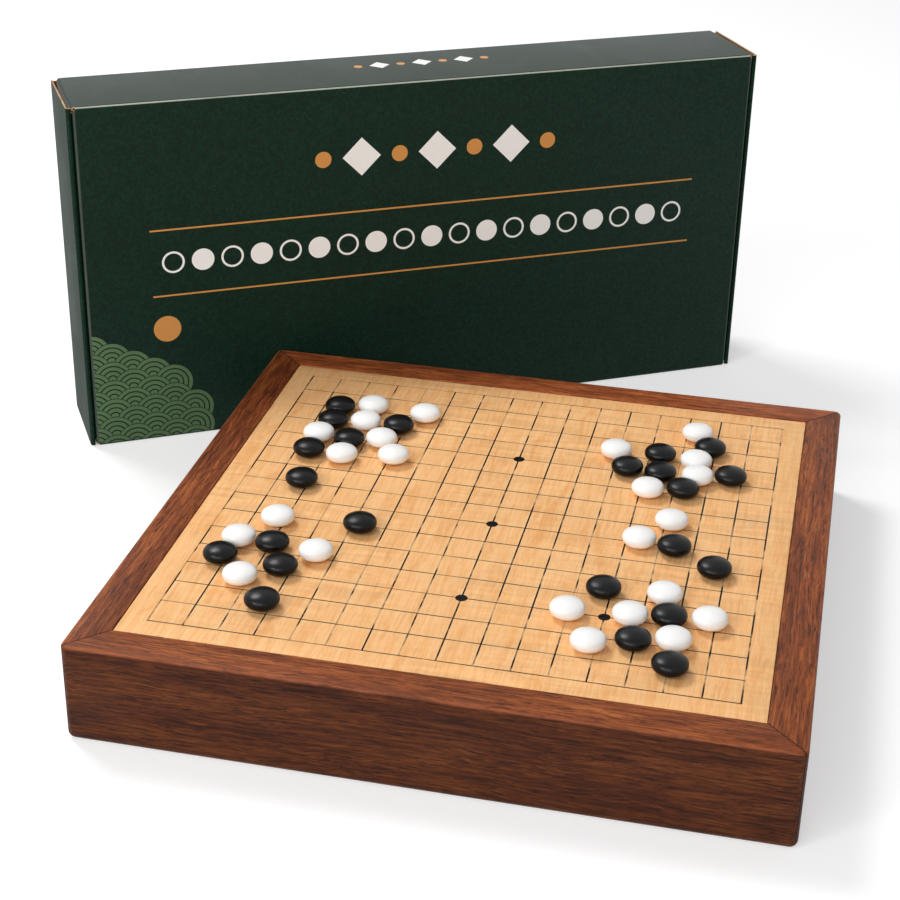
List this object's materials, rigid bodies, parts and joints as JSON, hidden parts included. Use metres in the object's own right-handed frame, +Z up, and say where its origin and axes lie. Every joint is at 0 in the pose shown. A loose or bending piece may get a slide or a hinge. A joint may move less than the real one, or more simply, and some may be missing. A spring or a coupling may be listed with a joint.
{
  "type": "weiqi game set",
  "caption": "Framed wooden weiqi board with black and white stones in play, in front of its folded tuck-end carton.",
  "frame": {"origin": "on the surface that the set stands on, below the middle of the set's outer box", "axes": "+Z up; the carton's front panel faces -Y and its length runs along X; the board lies in front of it, turned 31 degrees about Z"},
  "size_m": [0.6154, 0.672, 0.27],
  "materials": {
    "walnut": "satin, straight dark grain along each rail",
    "maple": "satin, faint figure, black printed lines and points",
    "plywood": "raw, fine grain",
    "black_stone": "satin",
    "white_stone": "smooth semi-gloss",
    "green_card": "matte printed outside, raw tan edges and inside"
  },
  "bodies": {
    "board": {"rail_front": "walnut", "rail_back": "walnut", "rail_left": "walnut", "rail_right": "walnut", "playing_panel": "maple", "base_panel": "plywood"},
    "carton": {"carton_sleeve": "green_card"},
    "closure_left": {"carton_closure_left": "green_card"},
    "closure_right": {"carton_closure_right": "green_card"},
    "dust_flap_top_left": {"carton_dust_flap_top_left": "green_card"},
    "dust_flap_bottom_left": {"carton_dust_flap_bottom_left": "green_card"},
    "dust_flap_top_right": {"carton_dust_flap_top_right": "green_card"},
    "dust_flap_bottom_right": {"carton_dust_flap_bottom_right": "green_card"},
    "stone_black_01_body": {"stone_black_01": "black_stone"},
    "stone_black_02_body": {"stone_black_02": "black_stone"},
    "stone_black_03_body": {"stone_black_03": "black_stone"},
    "stone_black_04_body": {"stone_black_04": "black_stone"},
    "stone_black_05_body": {"stone_black_05": "black_stone"},
    "stone_black_06_body": {"stone_black_06": "black_stone"},
    "stone_black_07_body": {"stone_black_07": "black_stone"},
    "stone_black_08_body": {"stone_black_08": "black_stone"},
    "stone_black_09_body": {"stone_black_09": "black_stone"},
    "stone_black_10_body": {"stone_black_10": "black_stone"},
    "stone_black_11_body": {"stone_black_11": "black_stone"},
    "stone_black_12_body": {"stone_black_12": "black_stone"},
    "stone_black_13_body": {"stone_black_13": "black_stone"},
    "stone_black_14_body": {"stone_black_14": "black_stone"},
    "stone_black_15_body": {"stone_black_15": "black_stone"},
    "stone_black_16_body": {"stone_black_16": "black_stone"},
    "stone_black_17_body": {"stone_black_17": "black_stone"},
    "stone_black_18_body": {"stone_black_18": "black_stone"},
    "stone_black_19_body": {"stone_black_19": "black_stone"},
    "stone_black_20_body": {"stone_black_20": "black_stone"},
    "stone_black_21_body": {"stone_black_21": "black_stone"},
    "stone_black_22_body": {"stone_black_22": "black_stone"},
    "stone_black_23_body": {"stone_black_23": "black_stone"},
    "stone_white_01_body": {"stone_white_01": "white_stone"},
    "stone_white_02_body": {"stone_white_02": "white_stone"},
    "stone_white_03_body": {"stone_white_03": "white_stone"},
    "stone_white_04_body": {"stone_white_04": "white_stone"},
    "stone_white_05_body": {"stone_white_05": "white_stone"},
    "stone_white_06_body": {"stone_white_06": "white_stone"},
    "stone_white_07_body": {"stone_white_07": "white_stone"},
    "stone_white_08_body": {"stone_white_08": "white_stone"},
    "stone_white_09_body": {"stone_white_09": "white_stone"},
    "stone_white_10_body": {"stone_white_10": "white_stone"},
    "stone_white_11_body": {"stone_white_11": "white_stone"},
    "stone_white_12_body": {"stone_white_12": "white_stone"},
    "stone_white_13_body": {"stone_white_13": "white_stone"},
    "stone_white_14_body": {"stone_white_14": "white_stone"},
    "stone_white_15_body": {"stone_white_15": "white_stone"},
    "stone_white_16_body": {"stone_white_16": "white_stone"},
    "stone_white_17_body": {"stone_white_17": "white_stone"},
    "stone_white_18_body": {"stone_white_18": "white_stone"},
    "stone_white_19_body": {"stone_white_19": "white_stone"},
    "stone_white_20_body": {"stone_white_20": "white_stone"},
    "stone_white_21_body": {"stone_white_21": "white_stone"},
    "stone_white_22_body": {"stone_white_22": "white_stone"},
    "stone_white_23_body": {"stone_white_23": "white_stone"},
    "stone_white_24_body": {"stone_white_24": "white_stone"}
  },
  "joints": [
    {"name": "carton_lift", "type": "slide", "parent": "board", "child": "carton", "axis": [0, 0, 1], "range_m": [0, 0.1]},
    {"name": "carton_closure_left_swing", "type": "hinge", "parent": "carton", "child": "closure_left", "pos_m": [-0.23634, 0.33333, 0.135], "axis": [0, 0, -1], "range_deg": [0, 135]},
    {"name": "carton_closure_right_swing", "type": "hinge", "parent": "carton", "child": "closure_right", "pos_m": [0.30766, 0.33333, 0.135], "axis": [0, 0, 1], "range_deg": [0, 135]},
    {"name": "carton_dust_flap_top_left_fold", "type": "hinge", "parent": "carton", "child": "dust_flap_top_left", "pos_m": [-0.23094, 0.29703, 0.2673], "axis": [0, -1, 0], "range_deg": [0, 85]},
    {"name": "carton_dust_flap_bottom_left_fold", "type": "hinge", "parent": "carton", "child": "dust_flap_bottom_left", "pos_m": [-0.23094, 0.29703, 0.0027], "axis": [0, 1, 0], "range_deg": [0, 85]},
    {"name": "carton_dust_flap_top_right_fold", "type": "hinge", "parent": "carton", "child": "dust_flap_top_right", "pos_m": [0.30226, 0.29703, 0.2673], "axis": [0, 1, 0], "range_deg": [0, 85]},
    {"name": "carton_dust_flap_bottom_right_fold", "type": "hinge", "parent": "carton", "child": "dust_flap_bottom_right", "pos_m": [0.30226, 0.29703, 0.0027], "axis": [0, -1, 0], "range_deg": [0, 85]},
    {"name": "stone_black_01_lift", "type": "slide", "parent": "board", "child": "stone_black_01_body", "axis": [0, 0, 1], "range_m": [0, 0.06]},
    {"name": "stone_black_02_lift", "type": "slide", "parent": "board", "child": "stone_black_02_body", "axis": [0, 0, 1], "range_m": [0, 0.06]},
    {"name": "stone_black_03_lift", "type": "slide", "parent": "board", "child": "stone_black_03_body", "axis": [0, 0, 1], "range_m": [0, 0.06]},
    {"name": "stone_black_04_lift", "type": "slide", "parent": "board", "child": "stone_black_04_body", "axis": [0, 0, 1], "range_m": [0, 0.06]},
    {"name": "stone_black_05_lift", "type": "slide", "parent": "board", "child": "stone_black_05_body", "axis": [0, 0, 1], "range_m": [0, 0.06]},
    {"name": "stone_black_06_lift", "type": "slide", "parent": "board", "child": "stone_black_06_body", "axis": [0, 0, 1], "range_m": [0, 0.06]},
    {"name": "stone_black_07_lift", "type": "slide", "parent": "board", "child": "stone_black_07_body", "axis": [0, 0, 1], "range_m": [0, 0.06]},
    {"name": "stone_black_08_lift", "type": "slide", "parent": "board", "child": "stone_black_08_body", "axis": [0, 0, 1], "range_m": [0, 0.06]},
    {"name": "stone_black_09_lift", "type": "slide", "parent": "board", "child": "stone_black_09_body", "axis": [0, 0, 1], "range_m": [0, 0.06]},
    {"name": "stone_black_10_lift", "type": "slide", "parent": "board", "child": "stone_black_10_body", "axis": [0, 0, 1], "range_m": [0, 0.06]},
    {"name": "stone_black_11_lift", "type": "slide", "parent": "board", "child": "stone_black_11_body", "axis": [0, 0, 1], "range_m": [0, 0.06]},
    {"name": "stone_black_12_lift", "type": "slide", "parent": "board", "child": "stone_black_12_body", "axis": [0, 0, 1], "range_m": [0, 0.06]},
    {"name": "stone_black_13_lift", "type": "slide", "parent": "board", "child": "stone_black_13_body", "axis": [0, 0, 1], "range_m": [0, 0.06]},
    {"name": "stone_black_14_lift", "type": "slide", "parent": "board", "child": "stone_black_14_body", "axis": [0, 0, 1], "range_m": [0, 0.06]},
    {"name": "stone_black_15_lift", "type": "slide", "parent": "board", "child": "stone_black_15_body", "axis": [0, 0, 1], "range_m": [0, 0.06]},
    {"name": "stone_black_16_lift", "type": "slide", "parent": "board", "child": "stone_black_16_body", "axis": [0, 0, 1], "range_m": [0, 0.06]},
    {"name": "stone_black_17_lift", "type": "slide", "parent": "board", "child": "stone_black_17_body", "axis": [0, 0, 1], "range_m": [0, 0.06]},
    {"name": "stone_black_18_lift", "type": "slide", "parent": "board", "child": "stone_black_18_body", "axis": [0, 0, 1], "range_m": [0, 0.06]},
    {"name": "stone_black_19_lift", "type": "slide", "parent": "board", "child": "stone_black_19_body", "axis": [0, 0, 1], "range_m": [0, 0.06]},
    {"name": "stone_black_20_lift", "type": "slide", "parent": "board", "child": "stone_black_20_body", "axis": [0, 0, 1], "range_m": [0, 0.06]},
    {"name": "stone_black_21_lift", "type": "slide", "parent": "board", "child": "stone_black_21_body", "axis": [0, 0, 1], "range_m": [0, 0.06]},
    {"name": "stone_black_22_lift", "type": "slide", "parent": "board", "child": "stone_black_22_body", "axis": [0, 0, 1], "range_m": [0, 0.06]},
    {"name": "stone_black_23_lift", "type": "slide", "parent": "board", "child": "stone_black_23_body", "axis": [0, 0, 1], "range_m": [0, 0.06]},
    {"name": "stone_white_01_lift", "type": "slide", "parent": "board", "child": "stone_white_01_body", "axis": [0, 0, 1], "range_m": [0, 0.06]},
    {"name": "stone_white_02_lift", "type": "slide", "parent": "board", "child": "stone_white_02_body", "axis": [0, 0, 1], "range_m": [0, 0.06]},
    {"name": "stone_white_03_lift", "type": "slide", "parent": "board", "child": "stone_white_03_body", "axis": [0, 0, 1], "range_m": [0, 0.06]},
    {"name": "stone_white_04_lift", "type": "slide", "parent": "board", "child": "stone_white_04_body", "axis": [0, 0, 1], "range_m": [0, 0.06]},
    {"name": "stone_white_05_lift", "type": "slide", "parent": "board", "child": "stone_white_05_body", "axis": [0, 0, 1], "range_m": [0, 0.06]},
    {"name": "stone_white_06_lift", "type": "slide", "parent": "board", "child": "stone_white_06_body", "axis": [0, 0, 1], "range_m": [0, 0.06]},
    {"name": "stone_white_07_lift", "type": "slide", "parent": "board", "child": "stone_white_07_body", "axis": [0, 0, 1], "range_m": [0, 0.06]},
    {"name": "stone_white_08_lift", "type": "slide", "parent": "board", "child": "stone_white_08_body", "axis": [0, 0, 1], "range_m": [0, 0.06]},
    {"name": "stone_white_09_lift", "type": "slide", "parent": "board", "child": "stone_white_09_body", "axis": [0, 0, 1], "range_m": [0, 0.06]},
    {"name": "stone_white_10_lift", "type": "slide", "parent": "board", "child": "stone_white_10_body", "axis": [0, 0, 1], "range_m": [0, 0.06]},
    {"name": "stone_white_11_lift", "type": "slide", "parent": "board", "child": "stone_white_11_body", "axis": [0, 0, 1], "range_m": [0, 0.06]},
    {"name": "stone_white_12_lift", "type": "slide", "parent": "board", "child": "stone_white_12_body", "axis": [0, 0, 1], "range_m": [0, 0.06]},
    {"name": "stone_white_13_lift", "type": "slide", "parent": "board", "child": "stone_white_13_body", "axis": [0, 0, 1], "range_m": [0, 0.06]},
    {"name": "stone_white_14_lift", "type": "slide", "parent": "board", "child": "stone_white_14_body", "axis": [0, 0, 1], "range_m": [0, 0.06]},
    {"name": "stone_white_15_lift", "type": "slide", "parent": "board", "child": "stone_white_15_body", "axis": [0, 0, 1], "range_m": [0, 0.06]},
    {"name": "stone_white_16_lift", "type": "slide", "parent": "board", "child": "stone_white_16_body", "axis": [0, 0, 1], "range_m": [0, 0.06]},
    {"name": "stone_white_17_lift", "type": "slide", "parent": "board", "child": "stone_white_17_body", "axis": [0, 0, 1], "range_m": [0, 0.06]},
    {"name": "stone_white_18_lift", "type": "slide", "parent": "board", "child": "stone_white_18_body", "axis": [0, 0, 1], "range_m": [0, 0.06]},
    {"name": "stone_white_19_lift", "type": "slide", "parent": "board", "child": "stone_white_19_body", "axis": [0, 0, 1], "range_m": [0, 0.06]},
    {"name": "stone_white_20_lift", "type": "slide", "parent": "board", "child": "stone_white_20_body", "axis": [0, 0, 1], "range_m": [0, 0.06]},
    {"name": "stone_white_21_lift", "type": "slide", "parent": "board", "child": "stone_white_21_body", "axis": [0, 0, 1], "range_m": [0, 0.06]},
    {"name": "stone_white_22_lift", "type": "slide", "parent": "board", "child": "stone_white_22_body", "axis": [0, 0, 1], "range_m": [0, 0.06]},
    {"name": "stone_white_23_lift", "type": "slide", "parent": "board", "child": "stone_white_23_body", "axis": [0, 0, 1], "range_m": [0, 0.06]},
    {"name": "stone_white_24_lift", "type": "slide", "parent": "board", "child": "stone_white_24_body", "axis": [0, 0, 1], "range_m": [0, 0.06]}
  ]
}
